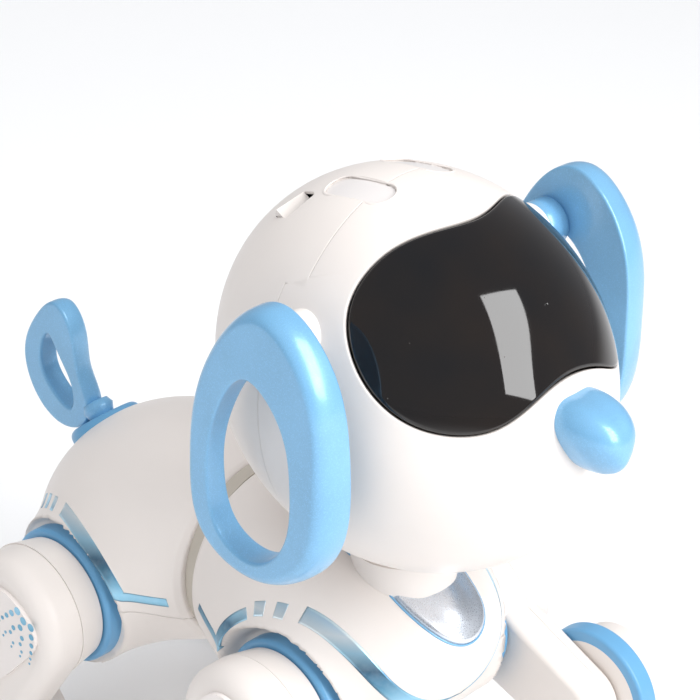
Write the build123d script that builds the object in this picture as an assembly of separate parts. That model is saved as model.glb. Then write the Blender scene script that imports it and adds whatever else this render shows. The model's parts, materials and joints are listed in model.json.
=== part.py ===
from build123d import *
import math
import os

# Robot dog toy: a jointed plastic dog with a ball-shaped head, a dark goggle
# visor, loop ears, a loop tail and four two-link legs with pivoting paws.
# Millimetres, +Z up. The dog faces -Y, and its right side is -X.
# The origin is on the floor, in the middle of the length and the width.

# ---------------------------------------------------------------- dimensions
WALL = 2.2              # moulded shell thickness
GAP = 0.3               # space between faces that move past each other
SHAFT_GAP = 0.1         # radial space between a shaft and its bore
SEAM_HALF = 0.05        # half the space between two shells that are glued or screwed together
FLOOR_CLEAR = 3.0       # sole thickness, which lifts the paw off the floor

HIP_Z = 72.0
FRONT_HIP_Y = -30.0
REAR_HIP_Y = 69.0
SEAM_Z = 77.0           # where the upper and lower body shells part

# Body: cross-sections along Y as (y, centre z, half width, half height).
FRONT_SECTIONS = [(17.5, 92.0, 35.0, 33.0), (0.0, 89.0, 41.0, 37.0), (-25.0, 86.0, 43.5, 37.0),
                  (-48.0, 86.5, 38.0, 31.0), (-62.0, 89.0, 27.0, 21.5), (-72.0, 93.0, 10.0, 8.0)]
REAR_SECTIONS = [(22.5, 92.0, 35.0, 33.0), (42.0, 89.0, 44.0, 38.5), (65.0, 85.0, 48.5, 41.0),
                 (86.0, 82.5, 41.0, 36.0), (100.0, 81.5, 26.0, 23.0), (108.5, 81.0, 9.0, 8.0)]
WAIST_Y = 20.0
WAIST_Z = 92.0
WAIST_R = 32.5
NECK_COLLAR_R = 17.0
SHIELD_OUTLINE = [(0, 99), (13, 106), (15, 117), (0, 122), (-15, 117), (-13, 106)]
GRILLE_R = 7.0
GRILLE_HOLE_R = 1.5
DOOR_HALF_W = 16.0
DOOR_Y = (26.0, 46.0)
DOOR_GAP = 0.2
SWITCH_Y = 100.0

# Hips: a collar on the body, then the thigh's inner half, then its outer half.
COLLAR_R = 24.0
HIP_SHAFT_R = 7.9
HIP_SHAFT_REACH = 10.5
THIGH_RIM_R = 21.6
THIGH_SEAM_R = 23.6
THIGH_INNER_T = 10.0
THIGH_OUTER_T = 13.6
PANEL_T = 1.5
FRONT_COLLAR_X = (33.0, 40.2)
REAR_COLLAR_X = (39.5, 46.7)
COLLAR_STEP = 0.5       # from the collar's face to the thigh

# Head: an ellipsoid, split by a transverse seam.
HEAD_C = (0.0, -47.75, 186.7)
HEAD_R = (54.0, 66.3, 62.7)
HEAD_SEAM_Y = -42.6
VISOR_TILT = 38.0       # the goggles face this far above the horizontal
GOGGLE_HALF_W = 45.0
GOGGLE_HALF_H = 29.5
NOSE_C = (0.0, -121.0, 194.0)
NOSE_R = (12.5, 14.0, 13.5)
NECK_Y = -44.0
NECK_R = 11.9
PAD_SIZE = (9.0, 25.0)
PAD_X = 12.0
PAD_Y = -36.5
PORT_C = (-19.5, -17.0, 237.5)
PORT_TURN = (28.0, -20.0)       # about X, then about its own Y

# Ears and tail: flat loops.
EAR_PIVOT = (-47.0, 214.0)      # y, z
EAR_BUSH_R = 8.5
EAR_X = (60.0, 72.0)
EAR_AXLE_R = 2.5
TAIL_T = 8.0
TAIL_PIVOT = (0.0, 97.0, 108.0)
TAIL_LEAN = 40.0        # the tail's pin leans back from the vertical
TAIL_BASE_R = 13.0
TAIL_PIN_R = 4.0

# Legs. Angles are measured from straight down, positive towards the tail.
FRONT_THIGH = 50.0
FRONT_THIGH_ANGLE = -68.0
REAR_THIGH = 45.0
REAR_THIGH_ANGLE = 30.0
SHIN = 44.0
ANKLE_Z = 11.0
KNEE_R = 22.5
KNEE_SHAFT_R = 6.0
ARM_HIP_R = 15.0        # the front thigh's arm, round the hip and round the knee
ARM_KNEE_R = 13.0
ARM_ROUND = 2.5
FRONT_DISC_R = 18.5     # the shin's disc, inside the knee ring
REAR_RING_R = 20.0
REAR_DISC_R = 16.5
PAW_W = 22.0
PAW_PIN_R = 2.0
LEG_WALL = 2.6

NODES = {}


# ------------------------------------------------------------------ helpers
def ellipsoid(centre, radii, inset=0.0):
    """An ellipsoid, with every half axis made shorter by inset.

    The ball's poles point along X and its seam lies at the back, clear of every cut.
    """
    sizes = tuple(r - inset for r in radii)
    ball = Rot(90, 0, 0) * Rot(0, 90, 0) * Sphere(1)
    return Pos(*centre) * scale(ball, by=sizes)


def x_cylinder(y, z, radius, x0, x1):
    """A cylinder along X from x0 to x1."""
    return Pos((x0 + x1) / 2, y, z) * Rot(0, 90, 0) * Cylinder(radius, abs(x1 - x0))


def z_cylinder(x, y, radius, z0, z1):
    return Pos(x, y, (z0 + z1) / 2) * Cylinder(radius, z1 - z0)


def block(x0, x1, y0, y1, z0, z1):
    centre = Pos((x0 + x1) / 2, (y0 + y1) / 2, (z0 + z1) / 2)
    return centre * Box(abs(x1 - x0), abs(y1 - y0), abs(z1 - z0))


def side_outline(points, x0, x1):
    """A smooth closed outline of (y, z) points, extruded along X from x0 to x1."""
    plane = Plane(origin=(x0, 0, 0), x_dir=(0, 1, 0), z_dir=(1, 0, 0))
    face = make_face(Spline([(y, z) for y, z in points], periodic=True))
    return extrude(plane * face, x1 - x0)


def two_circle_link(start, r0, end, r1, x0, x1):
    """A plate along X shaped like two circles joined by their outer tangents."""
    plane = Plane(origin=(x0, 0, 0), x_dir=(0, 1, 0), z_dir=(1, 0, 0))
    discs = Pos(*start) * Circle(r0) + Pos(*end) * Circle(r1)
    return extrude(plane * make_hull(discs.edges()), x1 - x0)


def keep(name, shape):
    """Names a finished piece: one solid, or a compound of its separate solids."""
    solids = shape.solids()
    NODES[name] = Compound(children=list(solids)) if len(solids) > 1 else solids[0]


def mirrored(shape):
    return mirror(shape, about=Plane.YZ)


# --------------------------------------------------------------------- body
def body_loft(sections, inset):
    faces = []
    for y, z, half_w, half_h in sections:
        plane = Plane(origin=(0, y, z), x_dir=(1, 0, 0), z_dir=(0, -1, 0))
        faces.append(plane * make_face(Ellipse(half_w - inset, half_h - inset).edges()))
    return loft(faces)


def body_half(sections, hip_y, collar_x):
    """A hollow half of the body, with a round tube across it for the hips."""
    boss_end = collar_x[0] + 2.5
    outer = body_loft(sections, 0)
    outer += x_cylinder(hip_y, HIP_Z, COLLAR_R + GAP + WALL, -boss_end, boss_end)
    shell = outer - body_loft(sections, WALL)
    return shell - x_cylinder(hip_y, HIP_Z, COLLAR_R + GAP, -60, 60)


def build_body():
    top = block(-80, 80, -150, 150, SEAM_Z + SEAM_HALF, 200)
    bottom = block(-80, 80, -150, 150, 0, SEAM_Z - SEAM_HALF)
    front = body_half(FRONT_SECTIONS, FRONT_HIP_Y, FRONT_COLLAR_X)
    rear = body_half(REAR_SECTIONS, REAR_HIP_Y, REAR_COLLAR_X)

    # The neck collar fills a hole in the top of the front shell.
    front -= z_cylinder(0, NECK_Y, NECK_COLLAR_R + SHAFT_GAP, 100, 140)
    collar = z_cylinder(0, NECK_Y, NECK_COLLAR_R, 107, 123.2)
    collar -= z_cylinder(0, NECK_Y, NECK_R + SHAFT_GAP, 100, 140)
    keep("neck_collar", collar)

    # The silver chest shield lies on the breast, in a pocket of its own shape.
    shield_outline = make_face(Spline(SHIELD_OUTLINE, periodic=True))
    shield_plane = Plane(origin=(0, -90, 0), x_dir=(1, 0, 0), z_dir=(0, -1, 0))
    prism = extrude(shield_plane * shield_outline, -60)
    skin = body_loft(FRONT_SECTIONS, -0.8) - body_loft(FRONT_SECTIONS, 1.2)
    shield = (skin & prism) - z_cylinder(0, NECK_Y, NECK_COLLAR_R + 0.5, 100, 140)
    keep("chest_shield", shield.solids().sort_by(SortBy.VOLUME)[-1])
    front -= prism & body_loft(FRONT_SECTIONS, -2) - body_loft(FRONT_SECTIONS, 1.25)

    # Speaker grille: a ring of holes in the belly under the speaker.
    for turn in range(6):
        hole_x = GRILLE_R * math.cos(math.radians(60 * turn))
        hole_y = FRONT_HIP_Y + GRILLE_R * math.sin(math.radians(60 * turn))
        front -= z_cylinder(hole_x, hole_y, GRILLE_HOLE_R, 30, 60)

    keep("front_upper_shell", (front & top).solids().sort_by(SortBy.VOLUME)[-1])
    keep("front_lower_shell", (front & bottom).solids().sort_by(SortBy.VOLUME)[-1])

    # The battery door is a patch of the belly.
    door_half = DOOR_HALF_W - DOOR_GAP
    door_cut = block(-DOOR_HALF_W, DOOR_HALF_W, *DOOR_Y, 30, 68)
    door = rear & block(-door_half, door_half, DOOR_Y[0] + DOOR_GAP, DOOR_Y[1] - DOOR_GAP, 30, 68)
    keep("battery_door", door.solids().sort_by(SortBy.VOLUME)[-1])
    rear -= door_cut

    # The tail base fills a round hole in the rump.
    tail_frame = Pos(*TAIL_PIVOT) * Rot(-TAIL_LEAN, 0, 0)
    rear -= tail_frame * Pos(0, 0, -2) * Cylinder(TAIL_BASE_R + GAP, 30)
    base = tail_frame * Pos(0, 0, -1.5) * Cylinder(TAIL_BASE_R, 9)
    base = fillet(base.edges().filter_by(GeomType.CIRCLE).sort_by(Axis.Z)[-1], 3.0)
    base -= tail_frame * Cylinder(TAIL_PIN_R + SHAFT_GAP, 40)
    keep("tail_base", base)

    # The power switch slides in a slot beside the seam, under the rump.
    rear -= block(-7, 7, SWITCH_Y - 15, SWITCH_Y + 20, 66, 71.2)
    keep("rear_upper_shell", (rear & top).solids().sort_by(SortBy.VOLUME)[-1])
    keep("rear_lower_shell", (rear & bottom).solids().sort_by(SortBy.VOLUME)[-1])
    knob = block(-3.4, 1.4, SWITCH_Y - 0.5, SWITCH_Y + 6.5, 66.4, 70.8)
    knob += block(-6, 2, SWITCH_Y - 3.0, SWITCH_Y - 0.5, 65.0, 72.0)
    keep("power_switch", knob)

    ring = Pos(0, WAIST_Y, WAIST_Z) * Rot(90, 0, 0) * (Cylinder(WAIST_R, 4.9) - Cylinder(WAIST_R - 5, 10))
    lip = Pos(0, WAIST_Y, WAIST_Z) * Rot(90, 0, 0) * (Cylinder(WAIST_R - 2.4, 12) - Cylinder(WAIST_R - 5, 20))
    keep("waist_ring", ring + lip)

    collars = []
    for hip_y, (x0, x1) in ((FRONT_HIP_Y, FRONT_COLLAR_X), (REAR_HIP_Y, REAR_COLLAR_X)):
        ring = x_cylinder(hip_y, HIP_Z, COLLAR_R, x0, x1)
        rims = ring.edges().filter_by(GeomType.CIRCLE).sort_by(Axis.X)
        ring = fillet(rims[-1], 1.5) - x_cylinder(hip_y, HIP_Z, HIP_SHAFT_R + SHAFT_GAP, 0, 80)
        collars += [ring, mirrored(ring)]
    keep("hip_collars", Compound(children=[c.solids()[0] for c in collars]))


def build_insides():
    """What the body holds so that the toy can walk, listen and talk."""
    for name, hip_y, half_w in (("front_hip_motor", FRONT_HIP_Y, 27.0), ("rear_hip_motor", REAR_HIP_Y, 33.5)):
        motor = block(-half_w, half_w, hip_y - 12, hip_y + 12, HIP_Z - 10, HIP_Z + 12)
        motor = fillet(motor.edges().filter_by(Axis.X), 2)
        keep(name, motor + x_cylinder(hip_y, HIP_Z, 6, -half_w - 2, half_w + 2))
    servo = block(-11, 11, NECK_Y - 9, NECK_Y + 13, 86, 105)
    keep("neck_servo", servo + z_cylinder(0, NECK_Y, 3, 105, 111.5))
    tail_frame = Pos(*TAIL_PIVOT) * Rot(-TAIL_LEAN, 0, 0)
    keep("tail_motor", tail_frame * Pos(0, 0, -17) * Cylinder(8, 15))
    keep("battery_pack", fillet(block(-19, 19, 27, 54, 64, 84).edges(), 2))
    board = block(-20, 20, 28, 66, 98, 99.6)
    for chip_x, chip_y, size in ((-9, 38, 10), (8, 52, 8), (10, 36, 6)):
        half = size / 2
        board += block(chip_x - half, chip_x + half, chip_y - half, chip_y + half, 99.6, 101.4)
    keep("main_board", board)
    speaker = z_cylinder(0, FRONT_HIP_Y, 11, 55.5, 58) + z_cylinder(0, FRONT_HIP_Y, 7, 58, 61)
    keep("speaker", speaker)
    screws = []
    for x, y, z0 in ((-20, -2, 65), (20, -2, 65), (-16, -52, 68), (16, -52, 68), (-24, 40, 66), (24, 40, 66)):
        screws.append(z_cylinder(x, y, 1.3, z0, z0 + 9) + z_cylinder(x, y, 2.6, z0 - 2, z0))
    keep("body_screws", Compound(children=[s.solids()[0] for s in screws]))


# --------------------------------------------------------------------- head
def goggle_prism(grow):
    """The goggle outline, pushed out from the head's centre along its tilt."""
    tilt = math.radians(VISOR_TILT)
    plane = Plane(origin=HEAD_C, x_dir=(1, 0, 0), z_dir=(0, -math.cos(tilt), math.sin(tilt)))
    half = [(0, 31.0), (24, 32.5), (38.5, 26.0), (45.0, 5.0), (41.0, -13.0), (22, -26.5)]
    mirrored_half = [(-x, y) for x, y in half[:0:-1]]
    outline = half + [(0, -21.0)] + mirrored_half
    wider = 1 + grow / GOGGLE_HALF_W
    taller = 1 + grow / GOGGLE_HALF_H
    outline = [(x * wider, 3 + (y - 3) * taller) for x, y in outline]
    face = make_face(Spline(outline, periodic=True))
    return extrude(plane * face, 95)


def pad_prism(side, grow):
    """A capsule that runs front to back over the top of the head."""
    capsule = SlotOverall(PAD_SIZE[1] + 2 * grow, PAD_SIZE[0] + 2 * grow, rotation=90)
    return extrude(Plane(origin=(side * PAD_X, PAD_Y, 225)) * capsule, 40)


def build_head():
    outer = ellipsoid(HEAD_C, HEAD_R)
    inner = ellipsoid(HEAD_C, HEAD_R, WALL)
    shell = outer - inner
    shell -= z_cylinder(0, NECK_Y, NECK_R + SHAFT_GAP, 110, 140)
    for side in (-1, 1):
        shell -= x_cylinder(*EAR_PIVOT, EAR_BUSH_R + SHAFT_GAP, side * 35, side * 60)
        recess = ellipsoid(HEAD_C, HEAD_R, -2) - ellipsoid(HEAD_C, HEAD_R, 1.45)
        shell -= pad_prism(side, 0.15) & recess

    # Front shell: the visor's window and the nose's socket are cut out of it.
    front = shell & block(-80, 80, -150, HEAD_SEAM_Y - SEAM_HALF, 100, 260)
    front -= goggle_prism(0.4)
    front_half = front - ellipsoid(NOSE_C, NOSE_R, -0.2)
    keep("head_front_shell", front_half.solids().sort_by(SortBy.VOLUME)[-1])
    keep("nose", ellipsoid(NOSE_C, NOSE_R))

    visor_skin = outer - ellipsoid(HEAD_C, HEAD_R, 2.0)
    visor = visor_skin & goggle_prism(0)
    keep("visor", visor.solids().sort_by(SortBy.VOLUME)[-1])

    rear = shell & block(-80, 80, HEAD_SEAM_Y + SEAM_HALF, 50, 100, 260)
    port_frame = Pos(*PORT_C) * Rot(*PORT_TURN, 0)
    rear -= port_frame * Box(11, 5.5, 14)
    keep("head_rear_shell", rear.solids().sort_by(SortBy.VOLUME)[-1])
    keep("head_port", port_frame * Pos(0, 0, -3.2) * Box(10.4, 4.9, 3))

    pads = []
    for side in (-1, 1):
        skin = ellipsoid(HEAD_C, HEAD_R, 0.7) - ellipsoid(HEAD_C, HEAD_R, 1.4)
        pads.append((skin & pad_prism(side, 0)).solids()[0])
    keep("touch_pads", Compound(children=pads))

    post = z_cylinder(0, NECK_Y, NECK_R, 112, 132.4) + z_cylinder(0, NECK_Y, 15, 130.4, 132.4)
    keep("neck_post", post)

    tilt = math.radians(VISOR_TILT)
    board_plane = Plane(origin=HEAD_C, x_dir=(1, 0, 0), z_dir=(0, -math.cos(tilt), math.sin(tilt)))
    board = extrude(board_plane.offset(38) * RectangleRounded(66, 34, 4), 1.6)
    for side in (-1, 1):
        lamps = board_plane.offset(39.6) * Pos(side * 18, 2) * Circle(9)
        board += extrude(lamps, 1.5)
    keep("eye_board", board)

    bushes = []
    for side in (-1, 1):
        bush = x_cylinder(*EAR_PIVOT, EAR_BUSH_R, side * 43, side * 53.0)
        bushes.append((bush - x_cylinder(*EAR_PIVOT, EAR_AXLE_R, 0, side * 80)).solids()[0])
    keep("ear_bushes", Compound(children=bushes))
    keep("ear_axle", x_cylinder(*EAR_PIVOT, EAR_AXLE_R, -66, 66))


EAR_OUTLINE = [(-57, 234.5), (-73.5, 222), (-80.5, 190), (-75.5, 159), (-51, 142.5), (-28, 151),
               (-23.5, 174), (-33, 214)]
EAR_HOLE = [(-50, 211), (-61.5, 203), (-66.5, 182), (-63, 161), (-50, 150.5), (-37, 155), (-32.5, 172),
            (-37.5, 197)]


def build_ears():
    plate = side_outline(EAR_OUTLINE, *EAR_X)
    plate = fillet(plate.edges().group_by(Axis.X)[-1], 4.0)
    plate = fillet(plate.edges().group_by(Axis.X)[0], 1.5)
    hole = side_outline(EAR_HOLE, EAR_X[0] - 5, EAR_X[1] + 5)
    plate -= hole
    # A boss reaches in to the bush on the head, round the hinge axle.
    ear = plate + x_cylinder(*EAR_PIVOT, EAR_BUSH_R - 0.5, 53.0 + GAP, EAR_X[0] + 1)
    ear -= x_cylinder(*EAR_PIVOT, EAR_AXLE_R + SHAFT_GAP, 50, 66.3)
    keep("left_ear", ear)
    keep("right_ear", mirrored(ear))


def build_tail():
    outline = [(116, 148.5), (128, 140), (135, 121), (127, 105.5), (113, 101.5), (102, 110), (106.5, 126),
               (110.5, 143)]
    hole = [(121.5, 135), (126, 126), (121.5, 114.5), (111, 110.3), (110, 117), (116, 128)]
    tail = side_outline(outline, -TAIL_T / 2, TAIL_T / 2)
    tail = chamfer(tail.edges().group_by(Axis.X)[-1] + tail.edges().group_by(Axis.X)[0], 1.2)
    tail -= side_outline(hole, -TAIL_T, TAIL_T)
    tail_frame = Pos(*TAIL_PIVOT) * Rot(-TAIL_LEAN, 0, 0)
    tail -= tail_frame * Pos(0, 0, -6) * Cylinder(14.5, 18.6)
    tail += tail_frame * Pos(0, 0, 0.5) * Cylinder(TAIL_PIN_R, 13)
    keep("tail_loop", tail)


# --------------------------------------------------------------------- legs
def polar(start, length, angle):
    """The (y, z) point at this length from start, angle measured from down."""
    turn = math.radians(angle)
    return start[0] + length * math.sin(turn), start[1] - length * math.cos(turn)


def build_paw(ankle, x0, x1):
    """A shoe with a slot for the shin's tongue, and a rubber sole under it."""
    middle = (x0 + x1) / 2
    half = PAW_W / 2
    y = ankle[0]
    shoe = block(middle - half, middle + half, y - 21, y + 11, FLOOR_CLEAR, ANKLE_Z + 7.5)
    ends = shoe.edges().filter_by(Axis.Z)
    shoe = fillet(ends, 8.0)
    shoe = fillet(shoe.edges().group_by(Axis.Z)[-1], 5.5)
    shoe -= block(middle - 4.3, middle + 4.3, y - 12, y + 20, FLOOR_CLEAR + 1.5, 40)
    pin = x_cylinder(ankle[0], ankle[1], PAW_PIN_R, middle - 8, middle + 8)
    sole_half = half - 1.0
    sole = block(middle - sole_half, middle + sole_half, y - 20, y + 10, 0, FLOOR_CLEAR)
    sole = fillet(sole.edges().filter_by(Axis.Z), 7.5)
    sole = chamfer(sole.edges().group_by(Axis.Z)[0], 0.8)
    return shoe + pin, sole, middle


def between(start, end, share):
    return start[0] + (end[0] - start[0]) * share, start[1] + (end[1] - start[1]) * share


def shin_link(knee, ankle, x0, x1, middle, disc_r):
    """The lower leg: a big disc at the knee and a thin tongue at the ankle."""
    link = two_circle_link(knee, 15.0, between(knee, ankle, 0.44), 8.5, x0, x1)
    link = fillet(link.edges().group_by(Axis.X)[-1] + link.edges().group_by(Axis.X)[0], 2.5)
    disc = x_cylinder(*knee, disc_r, x0, x1)
    tongue = two_circle_link(between(knee, ankle, 0.35), 7.0, ankle, 6.2, middle - 4, middle + 4)
    link += disc
    link += tongue
    return link - x_cylinder(*ankle, PAW_PIN_R + SHAFT_GAP, middle - 12, middle + 12)


def hollow(hip, hip_r, knee, knee_r, x0, x1):
    """The space inside a thigh half, LEG_WALL smaller all round."""
    return two_circle_link(hip, hip_r - LEG_WALL, knee, knee_r - LEG_WALL, x0, x1)


def hip_cap(hip, x0):
    """The two halves of the hip's round cap, without the rest of the thigh."""
    plane = Plane(origin=(x0, *hip), x_dir=(0, 1, 0), z_dir=(1, 0, 0))
    inner = loft([plane * Circle(THIGH_RIM_R), plane.offset(THIGH_INNER_T) * Circle(THIGH_SEAM_R)])
    x1 = x0 + THIGH_INNER_T + 2 * SEAM_HALF
    outer = x_cylinder(*hip, THIGH_SEAM_R, x1, x1 + THIGH_OUTER_T)
    outer = fillet(outer.edges().filter_by(GeomType.CIRCLE).sort_by(Axis.X)[-1], 7.5)
    shaft = x_cylinder(*hip, HIP_SHAFT_R, x0 - HIP_SHAFT_REACH, x0)
    return inner + shaft, outer


def place_ankle(knee, side):
    """The ankle, a shin's length from the knee, in front of it (-1) or behind it (1)."""
    return knee[0] + side * math.sqrt(SHIN ** 2 - (knee[1] - ANKLE_Z) ** 2), ANKLE_Z


def knee_ring(knee, radius, disc_r, x0, x1, edge):
    """The blue ring round the shin's disc."""
    ring = x_cylinder(*knee, radius, x0, x1)
    return fillet(ring.edges().filter_by(GeomType.CIRCLE), edge) - x_cylinder(*knee, disc_r, 0, 90)


def build_front_leg():
    """The thigh runs forward on the inside, and the shin hangs outside it."""
    hip = (FRONT_HIP_Y, HIP_Z)
    x0 = FRONT_COLLAR_X[1] + COLLAR_STEP
    knee = polar(hip, FRONT_THIGH, FRONT_THIGH_ANGLE)
    ankle = place_ankle(knee, 1)
    inner, outer = hip_cap(hip, x0)
    seam = x0 + THIGH_INNER_T
    arm_end = x0 + 15.0
    arm = (hip, ARM_HIP_R, knee, ARM_KNEE_R)
    near = two_circle_link(*arm, x0, seam)
    far = two_circle_link(*arm, seam + 2 * SEAM_HALF, arm_end)
    inner += fillet(near.edges().group_by(Axis.X)[0], ARM_ROUND)
    outer += fillet(far.edges().group_by(Axis.X)[-1], ARM_ROUND)
    inner -= hollow(*arm, x0 + LEG_WALL, seam)
    outer -= hollow(*arm, seam, arm_end - LEG_WALL)
    outer += x_cylinder(*knee, KNEE_SHAFT_R, arm_end - LEG_WALL, arm_end + 9)
    shin_x = (arm_end + GAP, x0 + 31.0)
    shoe, sole, middle = build_paw(ankle, *shin_x)
    shin = shin_link(knee, ankle, *shin_x, middle, FRONT_DISC_R)
    shin -= x_cylinder(*knee, KNEE_SHAFT_R + SHAFT_GAP, arm_end - 1, arm_end + 9.3)
    ring = knee_ring(knee, KNEE_R, FRONT_DISC_R, shin_x[0], shin_x[0] + 7.0, 1.2)
    # The shin's web is cut away where the ring passes through it.
    shin -= x_cylinder(*knee, KNEE_R + 0.1, 0, shin_x[0] + 7.1) - x_cylinder(*knee, FRONT_DISC_R, 0, 90)
    panel = side_outline([(hip[0] - 13, hip[1] + 11), (hip[0] + 9, hip[1] + 13), (hip[0] + 12, hip[1] - 5),
                          (hip[0] - 3, hip[1] - 14), (hip[0] - 15, hip[1] - 7)], 0, PANEL_T)
    panel = Pos(x0 + THIGH_INNER_T + 2 * SEAM_HALF + THIGH_OUTER_T, 0, 0) * panel
    return {"thigh_inner": inner, "thigh_outer": outer, "thigh_panel": panel, "knee_ring": ring,
            "shin": shin, "paw": shoe, "sole": sole}


def build_rear_leg():
    """The thigh's outer half runs back to the knee, and the shin is inside it."""
    hip = (REAR_HIP_Y, HIP_Z)
    x0 = REAR_COLLAR_X[1] + COLLAR_STEP
    knee = polar(hip, REAR_THIGH, REAR_THIGH_ANGLE)
    ankle = place_ankle(knee, -1)
    inner = hip_cap(hip, x0)[0]
    x1 = x0 + THIGH_INNER_T + 2 * SEAM_HALF
    skirt = two_circle_link(hip, THIGH_SEAM_R - 0.4, knee, 20.0, x1, x1 + THIGH_OUTER_T)
    skirt = fillet(skirt.edges().group_by(Axis.X)[-1], 6.0)
    skirt -= hollow(hip, 19.0, knee, 16.0, x1 - 1, x1 + THIGH_OUTER_T - LEG_WALL)
    outer = skirt + x_cylinder(*knee, KNEE_SHAFT_R, x1 - 8, x1 + THIGH_OUTER_T - LEG_WALL)
    inner -= x_cylinder(*hip, THIGH_RIM_R - LEG_WALL, x0 + LEG_WALL, x1) - x_cylinder(*hip, 7.0, 0, 90)
    shin_x = (x0 - 1.2, x1 - GAP)
    shoe, sole, middle = build_paw(ankle, *shin_x)
    shin = shin_link(knee, ankle, *shin_x, middle, REAR_DISC_R)
    shin -= x_cylinder(*knee, KNEE_SHAFT_R + SHAFT_GAP, x1 - 8.3, x1 + 1)
    ring = knee_ring(knee, REAR_RING_R, REAR_DISC_R, shin_x[1] - 5.0, shin_x[1], 1.0)
    shin -= x_cylinder(*knee, REAR_RING_R + 0.1, shin_x[1] - 5.1, 90) - x_cylinder(*knee, REAR_DISC_R, 0, 90)
    panel = side_outline([(hip[0] - 14, hip[1] + 8), (hip[0] + 4, hip[1] + 14), (hip[0] + 19, hip[1] - 1),
                          (hip[0] + 27, hip[1] - 27), (hip[0] + 8, hip[1] - 25), (hip[0] - 8, hip[1] - 11)],
                         0, PANEL_T)
    panel = Pos(x1 + THIGH_OUTER_T, 0, 0) * panel
    return {"thigh_inner": inner, "thigh_outer": outer, "thigh_panel": panel, "knee_ring": ring,
            "shin": shin, "paw": shoe, "sole": sole}


def build_legs():
    for end, pieces in (("front", build_front_leg()), ("rear", build_rear_leg())):
        for name, shape in pieces.items():
            keep(f"{end}_left_{name}", shape)
            keep(f"{end}_right_{name}", mirrored(shape))


build_body()
build_insides()
build_head()
build_ears()
build_tail()
build_legs()

os.makedirs("parts", exist_ok=True)
for node, shape in NODES.items():
    export_step(shape, f"parts/{node}.step")
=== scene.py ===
"""Looks of the jointed robot dog toy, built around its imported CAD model.

Lengths in the geometry functions are millimetres in the model's own frame, and become metres in the meshes.
The dog faces -Y, +Z is up, and its right side is -X.
"""

import json
import math

import bmesh
import bpy
import numpy as np
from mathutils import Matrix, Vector


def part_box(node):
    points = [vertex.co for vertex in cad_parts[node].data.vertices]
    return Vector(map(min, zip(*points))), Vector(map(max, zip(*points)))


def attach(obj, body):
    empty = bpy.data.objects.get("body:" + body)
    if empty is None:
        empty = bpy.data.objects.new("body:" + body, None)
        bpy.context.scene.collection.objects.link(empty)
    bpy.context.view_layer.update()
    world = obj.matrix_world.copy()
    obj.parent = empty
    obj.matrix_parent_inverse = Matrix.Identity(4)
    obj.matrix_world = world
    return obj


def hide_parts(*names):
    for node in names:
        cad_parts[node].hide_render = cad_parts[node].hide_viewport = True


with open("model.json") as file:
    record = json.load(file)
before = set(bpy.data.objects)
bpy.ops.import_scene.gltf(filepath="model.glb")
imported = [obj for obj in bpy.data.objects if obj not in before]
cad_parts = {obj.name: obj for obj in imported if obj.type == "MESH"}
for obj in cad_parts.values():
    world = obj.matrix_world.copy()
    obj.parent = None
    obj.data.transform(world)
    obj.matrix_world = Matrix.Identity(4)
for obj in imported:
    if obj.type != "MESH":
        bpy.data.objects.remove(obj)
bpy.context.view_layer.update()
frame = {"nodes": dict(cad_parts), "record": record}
NODES = frame["nodes"]
MM = 0.001


# ------------------------------------------------------------------ sizes
HIP_Z = 72.0
FRONT_HIP_Y = -30.0
REAR_HIP_Y = 69.0
SEAM_Z = 77.0
SEAM_GAP = 0.3
SHELL_WALL = 2.0
RIM_DEPTH = 2.0         # how far a shell's rim turns in at a seam

# Body cross-sections along Y: y, centre z, half width, half height.
FRONT_SECTIONS = [(-74.0, 93.5, 0.0, 0.0), (-71.0, 92.5, 13.5, 11.0), (-62.0, 89.0, 27.0, 21.5),
                  (-48.0, 86.5, 38.0, 31.0), (-25.0, 86.0, 43.5, 37.0), (0.0, 89.0, 41.0, 37.0),
                  (17.5, 92.0, 35.0, 33.0)]
REAR_SECTIONS = [(22.5, 92.0, 35.0, 33.0), (42.0, 89.0, 44.0, 38.5), (65.0, 85.0, 48.5, 41.0),
                 (86.0, 82.5, 41.0, 36.0), (100.0, 81.5, 27.0, 24.0), (107.5, 81.0, 13.0, 11.5),
                 (110.5, 81.0, 0.0, 0.0)]
FRONT_SEAT_X = 34.5     # the flat seat of the hip collar, from the middle
REAR_SEAT_X = 41.0
HIP_TUBE_R = 26.5
BODY_REACH = 62.0       # further out than any point of the body
LIP_ROUND = 1.6         # the rolled lip at the waist

FOIL_RISE = 0.07
FOIL_THICK = 0.12

HEAD_C = np.array([0.0, -47.75, 186.7])
HEAD_R = np.array([54.0, 66.3, 62.7])
HEAD_WALL = 0.9
MEAN_R = 58.0           # turns lengths along the head's surface into angles
SWELL_R = 61.0          # turns rises of the head's surface into shares of its size
VISOR_TILT = math.radians(38)
HEAD_SEAM_Y = -42.6
SEAM_JOG = 8.0          # the head's seam steps back above each ear
SEAM_JOG_ANGLE = 50.0   # degrees from the crown
GOGGLE_HALF = [(0, 31.0), (26, 33.2), (38, 26.8), (45.3, 12.5), (45.8, -4.0), (39.5, -18.0), (27.0, -25.4),
               (12.0, -22.8), (0, -21.2)]
GOGGLE_OUTLINE = GOGGLE_HALF + [(-x, y) for x, y in GOGGLE_HALF[-2:0:-1]]
NOSE_C = np.array([0.0, -115.5, 192.2])
PAD_SIZE = (9.0, 25.0)
PAD_X = 12.0
PAD_Y = -36.5
PAD_RIM = 0.35          # from a pad to the edge of its recess
PAD_DEPTH = 1.5
PORT_C = (-19.5, -17.0, 237.5)
PORT_SIZE = (11.0, 5.5, 14.0)
PORT_TURN = (28.0, -20.0)

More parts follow.
